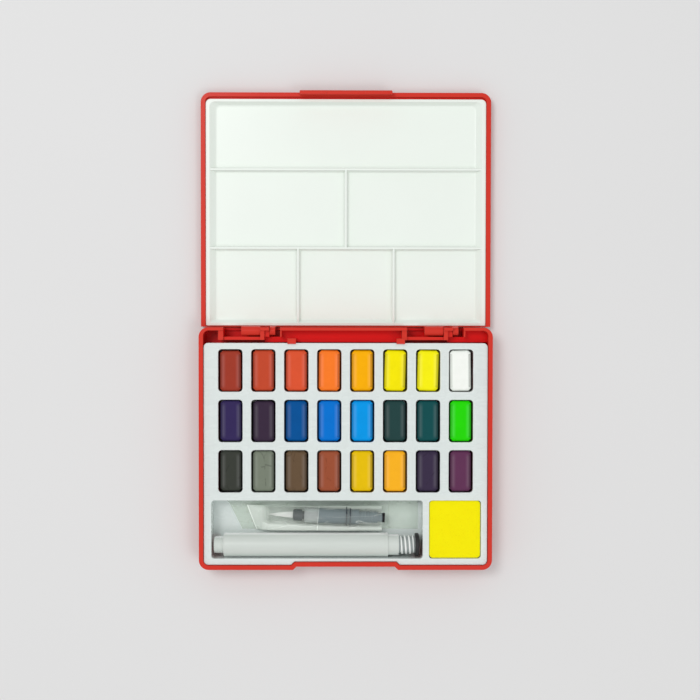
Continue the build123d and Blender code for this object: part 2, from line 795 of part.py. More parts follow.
print("base", round(base_width, 2), round(base_depth, 2), "closed height", round(closed_height, 2))
print("axis", round(axis_y, 3), round(axis_z, 3), "lid far", round(lid_far, 2), "rear", round(lid_rear, 2))
print("tray", round(tray_front, 2), round(tray_rear, 2), "rooms", round(room_front, 2), round(room_rear, 2))
print("brush room", round(brush_room_left, 2), round(brush_room_right, 2),
      "sponge room", round(sponge_room_left, 2), round(sponge_room_right, 2))
print("tank", round(tank_y, 2), round(tank_z, 2), "head", round(sachet_y, 2), round(head_z, 2))
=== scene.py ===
import math

import bmesh
import bpy
import numpy as np
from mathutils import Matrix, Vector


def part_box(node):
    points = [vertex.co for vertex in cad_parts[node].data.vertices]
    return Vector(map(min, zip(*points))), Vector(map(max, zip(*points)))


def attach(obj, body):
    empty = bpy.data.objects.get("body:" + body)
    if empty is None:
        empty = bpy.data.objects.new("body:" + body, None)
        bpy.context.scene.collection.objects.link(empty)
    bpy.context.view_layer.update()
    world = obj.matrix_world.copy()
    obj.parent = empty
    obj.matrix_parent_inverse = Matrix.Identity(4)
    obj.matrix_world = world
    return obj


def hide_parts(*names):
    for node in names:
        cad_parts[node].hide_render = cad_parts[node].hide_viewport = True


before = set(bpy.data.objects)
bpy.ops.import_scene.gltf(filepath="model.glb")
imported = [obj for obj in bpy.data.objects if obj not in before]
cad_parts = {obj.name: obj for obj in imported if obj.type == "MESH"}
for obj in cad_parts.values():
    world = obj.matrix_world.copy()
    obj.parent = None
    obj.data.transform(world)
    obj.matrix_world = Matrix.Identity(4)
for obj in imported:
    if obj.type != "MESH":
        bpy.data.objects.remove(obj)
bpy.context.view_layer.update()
print("frame loaded:", len(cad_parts), "nodes")

mm = 0.001
sharpAngle = math.radians(32)
mergeDistance = 1e-7
smallest = 1e-6  # least width or radius of a ring, so that its corners stay apart


def tint(red, green, blue):  # screen colour, 0 to 255, as the linear colour that shaders take
    screen = np.array([red, green, blue]) / 255
    linear = np.where(screen <= 0.04045, screen / 12.92, ((screen + 0.055) / 1.055) ** 2.4)
    return (*linear.tolist(), 1.0)


def shade(colour, amount):  # the same hue, darker below 1 and lighter above
    return (*(min(1.0, channel * amount) for channel in colour[:3]), 1.0)


def paler(colour, amount):  # the colour mixed with white
    return (*(channel + (1 - channel) * amount for channel in colour[:3]), 1.0)


class Wire:
    # A socket in a shader expression; each operator adds a Math node and gives its result
    def __init__(self, finish, socket):
        self.finish = finish
        self.socket = socket

    def maths(self, operation, other=0.0, swap=False, clamp=False):
        pair = [other, self] if swap else [self, other]
        return self.finish.node("ShaderNodeMath", {"operation": operation, "use_clamp": clamp}, pair)

    def __add__(self, other):
        return self.maths("ADD", other)

    def __radd__(self, other):
        return self.maths("ADD", other)

    def __sub__(self, other):
        return self.maths("SUBTRACT", other)

    def __rsub__(self, other):
        return self.maths("SUBTRACT", other, swap=True)

    def __mul__(self, other):
        return self.maths("MULTIPLY", other)

    def __rmul__(self, other):
        return self.maths("MULTIPLY", other)

    def __truediv__(self, other):
        return self.maths("DIVIDE", other)

    def __pow__(self, other):
        return self.maths("POWER", other)

    def __gt__(self, other):
        return self.maths("GREATER_THAN", other)

    def __lt__(self, other):
        return self.maths("LESS_THAN", other)

    def size(self):  # the value without its sign
        return self.maths("ABSOLUTE")

    def held(self):  # the value kept between 0 and 1
        return self.maths("ADD", 0.0, clamp=True)


class Finish:
    # One material; node() adds any node, with its settings first and then its sockets
    def __init__(self, name):
        self.material = bpy.data.materials.new(name)
        self.material.use_nodes = True
        self.tree = self.material.node_tree
        self.tree.nodes.clear()

    def node(self, kind, settings, sockets, output=0):
        made = self.tree.nodes.new(kind)
        for key, value in settings.items():
            setattr(made, key, value)
        pairs = sockets.items() if isinstance(sockets, dict) else enumerate(sockets)
        for key, value in pairs:
            if isinstance(value, Wire):
                self.tree.links.new(value.socket, made.inputs[key])
            else:
                made.inputs[key].default_value = value
        return Wire(self, made.outputs[output]) if made.outputs else None

    def place(self):
        return self.node("ShaderNodeTexCoord", {}, {}, "Object")

    def axes(self):  # X, Y and Z of the place on the piece, in mm
        split = self.node("ShaderNodeSeparateXYZ", {}, [self.place()])
        return [Wire(self, socket) / mm for socket in split.socket.node.outputs]

    def facing(self, axis):  # how far the piece's own normal points along X, Y or Z
        normal = self.node("ShaderNodeTexCoord", {}, {}, "Normal")
        return self.node("ShaderNodeSeparateXYZ", {}, [normal], axis)

    def noise(self, place, scale, detail, roughness=0.5):
        return self.node("ShaderNodeTexNoise", {}, {
            "Vector": place, "Scale": scale, "Detail": detail, "Roughness": roughness})

    def cells(self, place, scale, feature="F1"):
        return self.node("ShaderNodeTexVoronoi", {"feature": feature}, {"Vector": place, "Scale": scale},
                         "Distance")

    def stretched(self, place, x, y, z):
        return self.node("ShaderNodeMapping", {}, {"Vector": place, "Scale": (x, y, z)})

    def blend(self, share, first, second):
        return self.node("ShaderNodeMix", {"data_type": "RGBA"}, {0: share, 6: first, 7: second}, 2)

    def rounded(self, radius):  # normals as if the edges were rounded
        return self.node("ShaderNodeBevel", {"samples": 6}, {"Radius": radius})

    def edgeMask(self, rounded, gain, start):  # 1 beside an edge, 0 on a flat face
        flat = self.node("ShaderNodeNewGeometry", {}, {}, "Normal")
        facing = self.node("ShaderNodeVectorMath", {"operation": "DOT_PRODUCT"}, [rounded, flat], "Value")
        return ((1.0 - facing - start) * gain).held()

    def bump(self, height, distance, strength, normal=None):
        sockets = {"Height": height, "Distance": distance, "Strength": strength}
        if normal is not None:
            sockets["Normal"] = normal
        return self.node("ShaderNodeBump", {}, sockets)

    def done(self, sockets):
        surface = self.node("ShaderNodeBsdfPrincipled", {}, sockets)
        self.node("ShaderNodeOutputMaterial", {}, {"Surface": surface})
        return self.material


def apart(first, second):  # distance from two differences at right angles
    return (first * first + second * second) ** 0.5


def headAxisY(x):  # Y of the brush head's axis at X, in mm
    return collarFront[1] / mm + (x - collarFront[0] / mm) * math.tan(headShape["turn"])


def mouldedPlastic(name, look):
    # Moulded plastic: a faint cloud in the colour, paler edges as a painted highlight, fine grain and a few
    # rubbed patches.
    # Inside a shell the colour turns a deeper, brighter red below a given height, painted bounce light in the
    # recesses, and a painted pink bounce light from the red shell fades with the distance from its centre
    finish = Finish(name)
    place = finish.place()
    x, y, z = finish.axes()
    rounded = finish.rounded(look["edgeRound"])
    edge = finish.edgeMask(rounded, look["edgeGain"], look["edgeFrom"])
    cloud = finish.noise(place, *look["cloud"])
    grain = finish.noise(place, *look["grain"])
    rub = finish.noise(finish.stretched(place, *look["rubStretch"]), *look["rub"])
    colour = finish.blend(cloud, look["colour"], look["cloudColour"])
    # painted highlight: the edges are paler
    colour = finish.blend(edge * look["edgeHighlightShare"], colour, look["edgeHighlightColour"])
    halfWidth, front, rear, low, corner = look["inside"]
    inside = (x.size() < halfWidth) * (y > front) * (y < rear) * (z > low)
    inside = inside * (x.size() + y < halfWidth + rear - corner)  # leaves out the rounded outer corners
    # painted bounce light: a brighter, more saturated red in the shell's recesses below the given height
    recessBounce = ((look["recessBounceFrom"] - z) * (1 / look["recessBounceReach"])).held() * inside
    colour = finish.blend(recessBounce, colour, look["recessBounceColour"])
    # painted bounce light: pink from the red shell on the white tray, fading with distance and height
    for centreX, centreY, reach in look["pinkBounceSpots"]:
        near = ((reach - apart(x - centreX, y - centreY)) * (1 / reach)).held()
        near = near * ((look["pinkBounceTop"] - z) * look["pinkBounceFade"]).held()
        colour = finish.blend(near * look["pinkBounceShare"], colour, look["pinkBounceColour"])
    rough = look["roughness"] + (rub - 0.5) * look["rubAmount"] + edge * look["edgeRough"]
    return finish.done({
        "Base Color": colour, "Roughness": rough.held(), "IOR": look["ior"],
        "Specular IOR Level": look["specular"], "Coat Weight": look["coat"],
        "Coat Roughness": look["coatRoughness"], "Subsurface Weight": look["depth"],
        "Subsurface Scale": look["depthScale"], "Subsurface Radius": look["depthRadius"],
        "Normal": finish.bump(grain + rub * look["rubHeight"], look["grainHeight"], 1.0, rounded)})


# Noises are given as scale, detail and, where it isn't 0.5, roughness. The inside of a shell is its half
# width, front, rear, lowest height and the cut at its corners, and a spot of painted pink bounce light is its
# X, Y and reach, in mm
plasticBasics = {
    "edgeRound": 0.22 * mm, "edgeGain": 4.5, "edgeFrom": 0.015, "edgeHighlightShare": 0.75, "edgeRough": 0.08,
    "cloud": (28.0, 3.0), "grain": (2600.0, 2.0), "grainHeight": 0.006 * mm,
    "rub": (160.0, 4.0, 0.7), "rubStretch": (0.35, 1.0, 1.0), "rubAmount": 0.12, "rubHeight": 0.3,
    "roughness": 0.34, "ior": 1.46, "specular": 0.5, "coat": 0.0, "coatRoughness": 0.2,
    "inside": (0.0, 0.0, 0.0, 0.0, 0.0), "recessBounceFrom": 0.0, "recessBounceReach": 1.0,
    "recessBounceColour": tint(255, 255, 255),
    "depth": 0.0, "depthScale": 1.0 * mm, "depthRadius": (1.0, 1.0, 1.0),
    "pinkBounceSpots": (), "pinkBounceTop": 13.0, "pinkBounceFade": 0.4, "pinkBounceShare": 0.7,
    "pinkBounceColour": tint(222, 150, 150),
}

redBase = dict(
    plasticBasics, colour=tint(212, 56, 42), cloudColour=tint(206, 50, 38), edgeHighlightColour=tint(236, 92, 72),
    roughness=0.30, specular=0.14, edgeHighlightShare=0.5, coat=0.04, coatRoughness=0.12, edgeRound=0.3 * mm,
    recessBounceFrom=14.6, recessBounceReach=5.0, recessBounceColour=tint(222, 14, 14), inside=(81.7, -60.0, 67.6, 0.7, 3.2))
redLid = dict(
    redBase, recessBounceFrom=5.6, recessBounceReach=2.5, recessBounceColour=tint(214, 12, 16),
    inside=(81.4, 66.0, 200.2, 0.7, 3.2))
whiteTray = dict(
    plasticBasics, colour=tint(229, 238, 235), cloudColour=tint(224, 234, 231),
    edgeHighlightColour=tint(248, 251, 249), roughness=0.27, coat=0.2, coatRoughness=0.1, depth=0.4,
    depthScale=4.0 * mm, pinkBounceSpots=((-75.6, -58.0, 9.0), (43.4, -60.0, 8.0)))
whitePalette = dict(
    plasticBasics, colour=tint(239, 246, 239), cloudColour=tint(235, 242, 235),
    edgeHighlightColour=tint(252, 254, 251), roughness=0.30, specular=0.35, coat=0.1, coatRoughness=0.15,
    edgeRound=0.3 * mm)
blackPlug = dict(
    plasticBasics, colour=tint(34, 32, 34), cloudColour=tint(26, 26, 28), edgeHighlightColour=tint(96, 92, 92),
    roughness=0.36)
blackSeal = dict(blackPlug, edgeHighlightShare=0.1, specular=0.2)
darkCollar = dict(
    plasticBasics, colour=tint(48, 58, 62), cloudColour=tint(38, 46, 50), edgeHighlightColour=tint(112, 124, 128),
    roughness=0.28)


def clearPlastic(name, look):
    # Tinted or frosted see-through plastic, with faint flow lines along the piece, paler edges as a painted
    # highlight and a painted pale rim light where its side turns upright. Beyond ringFrom, in mm from the
    # brush head's axis, it is darker
    finish = Finish(name)
    flow = finish.noise(finish.stretched(finish.place(), *look["flowStretch"]), *look["flow"])
    edge = finish.edgeMask(finish.rounded(look["edgeRound"]), look["edgeGain"], look["edgeFrom"])
    colour = finish.blend(flow, look["colour"], look["cloudColour"])
    colour = finish.blend(edge * look["edgeHighlightShare"], colour, look["edgeHighlightColour"])
    # painted rim light where the surface turns upright
    rim = ((look["rimFrom"] - finish.facing("Z").size()) * look["rimGain"]).held()
    colour = finish.blend(rim, colour, look["rimLightColour"])
    if "ringFrom" in look:
        x, y, z = finish.axes()
        distance = apart(y - headAxisY(x), z - collarFront[2] / mm)
        ring = ((distance - look["ringFrom"]) * look["ringGain"]).held()
        colour = finish.blend(ring, colour, look["ringColour"])
    return finish.done({
        "Base Color": colour, "Roughness": (look["roughness"] + (flow - 0.5) * look["roughSway"]).held(),
        "Transmission Weight": look["clear"], "IOR": look["ior"], "Coat Weight": look["coat"],
        "Coat Roughness": look["coatRoughness"], "Normal": finish.bump(flow, look["flowHeight"], 1.0)})


clearBasics = {
    "flow": (420.0, 3.0), "flowStretch": (0.15, 1.0, 1.0), "flowHeight": 0.01 * mm, "edgeRound": 0.2 * mm,
    "edgeGain": 3.0, "edgeFrom": 0.015, "edgeHighlightShare": 0.5, "rimGain": 5.0, "roughSway": 0.08, "ior": 1.46,
    "coat": 0.3, "coatRoughness": 0.06,
}
frostedTank = dict(
    clearBasics, colour=tint(221, 228, 222), cloudColour=tint(214, 221, 215), edgeHighlightColour=tint(250, 253, 250),
    roughness=0.36, clear=0.12, rimFrom=0.5, rimLightColour=tint(255, 255, 255))
clearFront = dict(
    clearBasics, colour=tint(246, 252, 250), cloudColour=tint(240, 248, 246), edgeHighlightColour=tint(255, 255, 255),
    roughness=0.08, clear=0.72, rimFrom=0.3, rimLightColour=tint(255, 255, 255))
tintedBody = dict(
    clearBasics, colour=tint(120, 138, 144), cloudColour=tint(106, 126, 134), edgeHighlightColour=tint(160, 178, 184),
    roughness=0.16, clear=0.35, rimFrom=0.2, rimLightColour=tint(176, 192, 194), ringFrom=4.5,
    ringGain=4.0, ringColour=tint(46, 58, 70))


paintFinish = {
    "edgeRound": 1.1 * mm, "shadingBorderFrom": 0.40, "shadingBorderGain": 20.0, "rightShadeShare": 0.8, "rightShadeDark": 0.45,
    "leftShadeShare": 0.55, "leftShadeDark": 0.50, "stripAt": 4.2, "stripGain": 0.62, "stripEnd": 10.4,
    "stripFade": 0.4, "highlightShare": 0.6, "highlightPale": 0.08, "mottle": (190.0, 4.0, 0.6),
    "mottleDark": 0.90, "mottleLight": 1.06, "grain": (1900.0, 3.0, 0.6), "grainHeight": 0.4,
    "crackScale": 105.0, "crackStretch": (1.0, 0.6, 1.0), "crackWidth": 0.028, "crackGain": 60.0,
    "crackPatch": (260.0, 2.0), "patchGain": 8.0, "crackShadeShare": 0.45, "crackShadeDark": 0.45, "crackDepth": 3.0,
    "roughness": 0.36, "roughSway": 0.22, "specular": 0.06, "coat": 0.02, "coatRoughness": 0.25,
    "bump": 0.05 * mm, "bumpStrength": 0.6,
}


def watercolour(name, colour, cracked, middle):
    # Pressed paint: satin, with painted shade on its right side and less on its left, a soft painted
    # highlight along both, mottling, grain and on some a few hair cracks darkened with painted shade; middle
    # is the tablet's own, in mm
    look = paintFinish
    finish = Finish(name)
    place = finish.place()
    x, y = finish.axes()[:2]
    rounded = finish.rounded(look["edgeRound"])
    sideways = finish.facing("X")
    # painted shade: the tablet's sloped sides are darker, the right more than the left
    right = ((sideways - look["shadingBorderFrom"]) * look["shadingBorderGain"]).held()
    left = ((0.0 - sideways - look["shadingBorderFrom"]) * look["shadingBorderGain"]).held()
    # painted highlight: a soft pale band near each long side of the top
    paleHighlight = (1.0 - ((x - middle[0]).size() - look["stripAt"]).size() * look["stripGain"]).held()
    paleHighlight = paleHighlight * ((look["stripEnd"] - (y - middle[1]).size()) * look["stripFade"]).held()
    mottle = finish.noise(place, *look["mottle"])
    grain = finish.noise(place, *look["grain"])
    body = finish.blend(mottle, shade(colour, look["mottleDark"]), shade(colour, look["mottleLight"]))
    body = finish.blend(right * look["rightShadeShare"], body, shade(colour, look["rightShadeDark"]))
    body = finish.blend(left * look["leftShadeShare"], body, shade(colour, look["leftShadeDark"]))
    body = finish.blend(paleHighlight * look["highlightShare"], body, paler(colour, look["highlightPale"]))
    height = grain * look["grainHeight"] + mottle
    if cracked:
        patch = ((finish.noise(place, *look["crackPatch"]) - 0.5) * look["patchGain"]).held()
        line = finish.cells(
            finish.stretched(place, *look["crackStretch"]), look["crackScale"], "DISTANCE_TO_EDGE")
        crack = ((look["crackWidth"] - line) * look["crackGain"]).held() * patch
        # painted shade in the hair cracks
        body = finish.blend(crack * look["crackShadeShare"], body, shade(colour, look["crackShadeDark"]))
        height = height - crack * look["crackDepth"]
    return finish.done({
        "Base Color": body, "Roughness": (look["roughness"] + mottle * look["roughSway"]).held(),
        "Specular IOR Level": look["specular"], "Coat Weight": look["coat"],
        "Coat Roughness": look["coatRoughness"],
        "Normal": finish.bump(height, look["bump"], look["bumpStrength"], rounded)})


def gapShadeFinish(name, colour, look):
    # Painted shade: a thin dark skin in the paint's own hue on a well's walls, for the shade in the gap round
    # the tablet;
    # the outermost wells get a painted red reflection of the shell
    finish = Finish(name)
    x = finish.axes()[0]
    blot = finish.noise(finish.place(), *look["blot"])
    # painted reflection: red from the shell on the wells nearest its sides
    outside = ((x.size() - look["redBounceFrom"]) * look["redBounceGain"]).held()
    body = finish.blend(blot, shade(colour, look["dark"]), shade(colour, look["light"]))
    body = finish.blend(outside * look["redBounceShare"], body, look["redBounceColour"])
    return finish.done({
        "Base Color": body, "Roughness": (look["roughness"] + blot * look["roughSway"]).held(),
        "Normal": finish.bump(blot, look["bump"], look["bumpStrength"])})


def foam(name, look):
    # Fine open foam: small pores in two sizes, darkened with painted shade, over a soft mottle, and paler
    # towards its sides as a painted glow
    finish = Finish(name)
    place = finish.place()
    mottle = finish.noise(place, *look["mottle"])
    hole = 0.0
    for scale, width, share in look["pores"]:
        hole = hole + ((width - finish.cells(place, scale)) * look["poreGain"]).held() * share
    body = finish.blend(mottle, look["colour"], look["cloudColour"])
    # painted shade in the pores
    body = finish.blend(hole * look["poreShadeShare"], body, look["poreShadeColour"])
    # painted glow: the upright sides are paler
    border = ((look["shadingBorderFrom"] - finish.facing("Z")) * look["shadingBorderGain"]).held()
    body = finish.blend(border * look["sideGlowShare"], body, look["sideGlowColour"])
    return finish.done({
        "Base Color": body, "Roughness": (look["roughness"] + mottle * look["roughSway"]).held(),
        "Subsurface Weight": look["depth"], "Subsurface Scale": look["depthScale"],
        "Subsurface Radius": look["depthRadius"], "Specular IOR Level": look["specular"],
        "Normal": finish.bump(1.0 - hole, look["poreDepth"], look["bumpStrength"])})


def hair(name, look):
    # Nylon hairs: near white, with faint flecks drawn out along them
    finish = Finish(name)
    fleck = finish.noise(finish.stretched(finish.place(), *look["fleckStretch"]), *look["fleck"])
    body = finish.blend(fleck, look["colour"], look["cloudColour"])
    return finish.done({
        "Base Color": body, "Roughness": (look["roughness"] + fleck * look["roughSway"]).held(),
        "Transmission Weight": look["clear"], "IOR": look["ior"]})


def clearFilm(name, look, shape):
    # Clear film: a thin veil, with a painted milky reflection where it hangs loose beside and left of the
    # brush, and painted highlights, paler and less clear, along its long edges, its slanted cut, its seam and
    # long fine creases
    finish = Finish(name)
    place = finish.place()
    x, y = finish.axes()[:2]
    across = (y - shape["middleY"]) / (2 * shape["halfWidth"])
    beside = (((y - headAxisY(x)).size() - look["looseFrom"]) * look["looseGain"]).held()
    ahead = ((look["looseLeft"] - x) * look["looseLeftGain"]).held()
    warp = finish.noise(finish.stretched(place, *look["warpStretch"]), *look["warp"])
    crease = finish.noise(finish.stretched(place, *look["creaseStretch"]), *look["crease"])
    crease = ((look["creaseHalf"] - (crease - 0.5).size()) / look["creaseHalf"]).held()
    crease = crease * ((warp - look["creaseFrom"]) * look["creaseGain"]).held()
    long = ((across.size() - 0.5 + look["edgeWidth"]) * look["edgeGain"]).held()
    fromCut = x - shape["left"] - (0.5 - across) * shape["slant"]
    cut = ((look["cutWidth"] - fromCut) * look["cutGain"]).held()
    fromSeam = (x - look["seamX"] - across * look["seamTilt"]).size()
    seam = ((look["seamWidth"] - fromSeam) * look["seamGain"]).held()
    # painted highlights along the edges, cut, seam and creases
    lines = (long * look["edgeGlintAlpha"] + cut * look["cutGlintAlpha"] + seam * look["seamGlintAlpha"]
             + crease * look["creaseGlintAlpha"]).held()
    # painted reflection: the loose film is milkier
    veil = look["alpha"] + (beside + ahead).held() * look["looseReflectionAlpha"] + (warp - 0.5) * look["alphaSway"]
    body = finish.blend(warp, look["colour"], look["cloudColour"])
    body = finish.blend(lines, body, look["glintLineColour"])
    return finish.done({
        "Base Color": body, "Roughness": (look["roughness"] + warp * look["roughSway"]).held(),
        "Specular IOR Level": look["specular"], "Alpha": (veil + lines).held(),
        "Normal": finish.bump(crease, look["creaseHeight"], look["bumpStrength"])})


def addPiece(name, corners, quads, material):
    # Quads with their doubles merged, so that seams and poles close, and every face turned outwards
    mesh = bpy.data.meshes.new(name)
    mesh.vertices.add(len(corners))
    mesh.vertices.foreach_set("co", np.asarray(corners, np.float32).ravel())
    mesh.loops.add(quads.size)
    mesh.loops.foreach_set("vertex_index", np.asarray(quads, np.int32).ravel())
    mesh.polygons.add(len(quads))
    mesh.polygons.foreach_set("loop_start", np.arange(0, quads.size, 4, dtype=np.int32))
    mesh.update(calc_edges=True)
    shape = bmesh.new()
    shape.from_mesh(mesh)
    bmesh.ops.remove_doubles(shape, verts=shape.verts, dist=mergeDistance)
    bmesh.ops.recalc_face_normals(shape, faces=shape.faces)
    shape.to_mesh(mesh)
    shape.free()
    mesh.polygons.foreach_set("use_smooth", np.ones(len(mesh.polygons), bool))
    mesh.set_sharp_from_angle(angle=sharpAngle)
    mesh.materials.append(material)
    piece = bpy.data.objects.new(name, mesh)
    bpy.context.scene.collection.objects.link(piece)
    return piece


def gridFaces(rows, columns, closeRows, closeColumns):
    # Quads between neighbouring grid points; a closed direction joins its last line to its first
    index = np.arange(rows * columns).reshape(rows, columns)
    if closeRows:
        index = np.vstack([index, index[:1]])
    if closeColumns:
        index = np.hstack([index, index[:, :1]])
    return np.stack([index[:-1, :-1], index[:-1, 1:], index[1:, 1:], index[1:, :-1]], axis=-1).reshape(-1, 4)


def gridPiece(name, points, material, closeRows=False, closeColumns=False):
    rows, columns = points.shape[:2]
    return addPiece(name, points.reshape(-1, 3), gridFaces(rows, columns, closeRows, closeColumns), material)


def waves(points, length, seed, count=14):
    # Smooth random field: the sum of n sine waves of about one length, in seeded random directions, over
    # the square root of n
    random = np.random.default_rng(seed)
    directions = random.normal(size=(count, 3))
    directions /= np.linalg.norm(directions, axis=1, keepdims=True)
    steps = 2 * np.pi / (length * random.uniform(0.7, 1.5, count))
    phases = random.uniform(0, 2 * np.pi, count)
    return np.sin((points @ directions.T) * steps + phases).sum(axis=-1) / math.sqrt(count)


def roundedRing(width, depth, radius, cornerSteps, sideSteps):
    # Rounded rectangle about the origin: quarter arcs of the radius, with evenly divided sides between
    radius = max(radius, smallest)
    angles = np.linspace(0, np.pi / 2, cornerSteps)
    centres = np.array([(1, 1), (-1, 1), (-1, -1), (1, -1)]) * np.maximum(
        [width / 2 - radius, depth / 2 - radius], 0)
    ring = []
    for quarter in range(4):
        turn = quarter * np.pi / 2
        arc = centres[quarter] + radius * np.stack([np.cos(angles + turn), np.sin(angles + turn)], axis=-1)
        ring.append(arc)
        following = centres[(quarter + 1) % 4]
        start = following + radius * np.array([math.cos(turn + np.pi / 2), math.sin(turn + np.pi / 2)])
        ring.append(arc[-1] + (start - arc[-1]) * np.linspace(0, 1, sideSteps + 2)[1:-1, None])
    return np.concatenate(ring)


def stackedRings(width, depth, radius, levels, cornerSteps, sideSteps):
    # One rounded rectangle for each level (inset, height), drawn in by the inset on every side
    flat = np.stack([
        roundedRing(max(width - 2 * inset, smallest), max(depth - 2 * inset, smallest), radius - inset,
                    cornerSteps, sideSteps) for inset, height in levels])
    heights = np.array([height for inset, height in levels])
    return np.concatenate([flat, np.broadcast_to(heights[:, None, None], flat.shape[:2] + (1,))], axis=-1)


def turnedPoints(start, direction, along, radii):
    # Points at the distances along an axis, at radii[i, j] from it, for turns j evenly round the axis
    direction = np.asarray(direction, float)
    side = np.cross((0, 0, 1), direction)
    side /= np.linalg.norm(side)
    up = np.cross(direction, side)
    angles = np.linspace(0, 2 * np.pi, radii.shape[1], endpoint=False)
    spokes = np.cos(angles)[:, None] * side + np.sin(angles)[:, None] * up
    centres = np.asarray(start, float) + along[:, None] * direction
    return centres[:, None, :] + radii[:, :, None] * spokes[None, :, :]


def sampled(profile, step):
    # The corners of a profile (x, r) with even samples between them, a step apart
    profile = np.array(profile, float)
    lengths = np.linalg.norm(np.diff(profile, axis=0), axis=1)
    stations = np.concatenate([[0], np.cumsum(lengths)])
    fine = np.union1d(stations, np.arange(0, stations[-1], step))
    return np.interp(fine, stations, profile[:, 0]), np.interp(fine, stations, profile[:, 1])


def threadRidge(along, slope, start, end, pitch, count):
    # Height 0 to 1 of a screw thread: a ridge that climbs one pitch a turn, eased as 3 h h - 2 h h h, and
    # fades at both ends over a quarter of the pitch
    phase = (along[:, None] / pitch - np.arange(count)[None, :] / count) % 1
    ridge = np.clip(1 - np.abs(phase - 0.5) * slope, 0, 1)
    quarter = 0.25 * pitch
    fade = np.clip((along - start) / quarter, 0, 1) * np.clip((end - along) / quarter, 0, 1)
    return (ridge * ridge * (3 - 2 * ridge)) * fade[:, None]


print("tools ready")

# Brush head, in mm: its axis goes through the middle of the feed core, at a slight turn about Z
headShape = {"turn": math.radians(-1.8), "coreMiddle": 25.35, "tipLength": 15.2, "tipRadius": 1.8,
             "root": 2.4, "threadStart": 37.8, "threadEnd": 47.7, "threadRadius": 3.32,
             "threadHeight": 0.36, "threadPitch": 1.9, "threadSlope": 2.4, "threadMargin": 0.2,
             "threadStep": 0.12, "turnSteps": 72, "sleeve": 0.25}
headDirection = np.array([math.cos(headShape["turn"]), math.sin(headShape["turn"]), 0])
coreLow, coreHigh = (np.array(corner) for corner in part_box("feed_core"))
collarFront = (coreLow + coreHigh) / 2 - headDirection * headShape["coreMiddle"] * mm

# Materials for the nodes that stay as they are
blackMaterial = mouldedPlastic("black_plastic", blackPlug)
collarMaterial = mouldedPlastic("dark_collar_plastic", darkCollar)
bodyMaterial = clearPlastic("tinted_plastic", tintedBody)
nodeMaterials = {
    "base_shell": mouldedPlastic("red_base_plastic", redBase),
    "lid_shell": mouldedPlastic("red_lid_plastic", redLid),
    "pan_tray": mouldedPlastic("white_tray_plastic", whiteTray),
    "mixing_palette": mouldedPlastic("white_palette_plastic", whitePalette),
    "tank_plug": blackMaterial, "brush_collar": collarMaterial, "feed_core": collarMaterial,
    "brush_front_section": clearPlastic("clear_plastic", clearFront), "brush_body": bodyMaterial,
    "brush_end_seal": mouldedPlastic("black_seal_rubber", blackSeal),
}


def coat(nodeName, material):
    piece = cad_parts[nodeName]
    if not piece.material_slots:
        piece.data.materials.append(material)
    for slot in piece.material_slots:
        slot.material = material


for nodeName, material in nodeMaterials.items():
    coat(nodeName, material)

print("plastics done")

# Paint tablets: screen colour, and whether the paint has dried with cracks
paintLooks = {
    "brick_red": (tint(161, 59, 42), False), "vermilion_brown": (tint(196, 74, 46), False),
    "scarlet": (tint(221, 85, 50), False), "orange": (tint(255, 125, 40), False),
    "golden_orange": (tint(255, 177, 0), False), "yellow": (tint(250, 234, 0), False),
    "lemon_yellow": (tint(252, 242, 14), False), "white": (tint(248, 253, 245), False),
    "violet_blue": (tint(53, 42, 88), False), "dark_plum": (tint(58, 43, 63), False),
    "dark_blue": (tint(0, 82, 151), False), "blue": (tint(0, 115, 210), False),
    "cyan_blue": (tint(0, 152, 232), False), "green_grey": (tint(36, 67, 66), False),
    "dark_teal": (tint(17, 78, 80), False), "bright_green": (tint(36, 218, 0), False),
    "charcoal": (tint(59, 62, 56), True), "grey": (tint(122, 130, 115), True),
    "brown": (tint(103, 82, 61), True), "red_brown": (tint(156, 81, 54), True),
    "ochre_yellow": (tint(234, 193, 4), False), "warm_orange": (tint(255, 181, 34), False),
    "dark_violet": (tint(59, 48, 72), True), "purple": (tint(98, 52, 85), False),
}
wellLook = {"width": 13.76 * mm, "length": 24.0 * mm, "corner": 2.0 * mm, "floor": 6.2 * mm, "columns": 8,
            "pitchX": 18.52 * mm, "pitchY": 28.38 * mm, "firstX": -71.7 * mm, "firstY": 55.98 * mm,
            "cornerSteps": 7, "sideSteps": 10}
gapShadeLook = {"skin": 0.12 * mm, "off": 0.03 * mm, "top": 13.3 * mm, "ragged": 0.5 * mm,
             "raggedLength": 7 * mm, "reach": 0.85 * mm, "seed": 40, "blot": (300.0, 3.0, 0.6),
             "dark": 0.22, "light": 0.42, "redBounceFrom": 70.9, "redBounceGain": 4.0, "redBounceShare": 0.8,
             "redBounceColour": tint(96, 20, 14), "roughness": 0.35, "roughSway": 0.3, "bump": 0.04 * mm,
             "bumpStrength": 0.7}


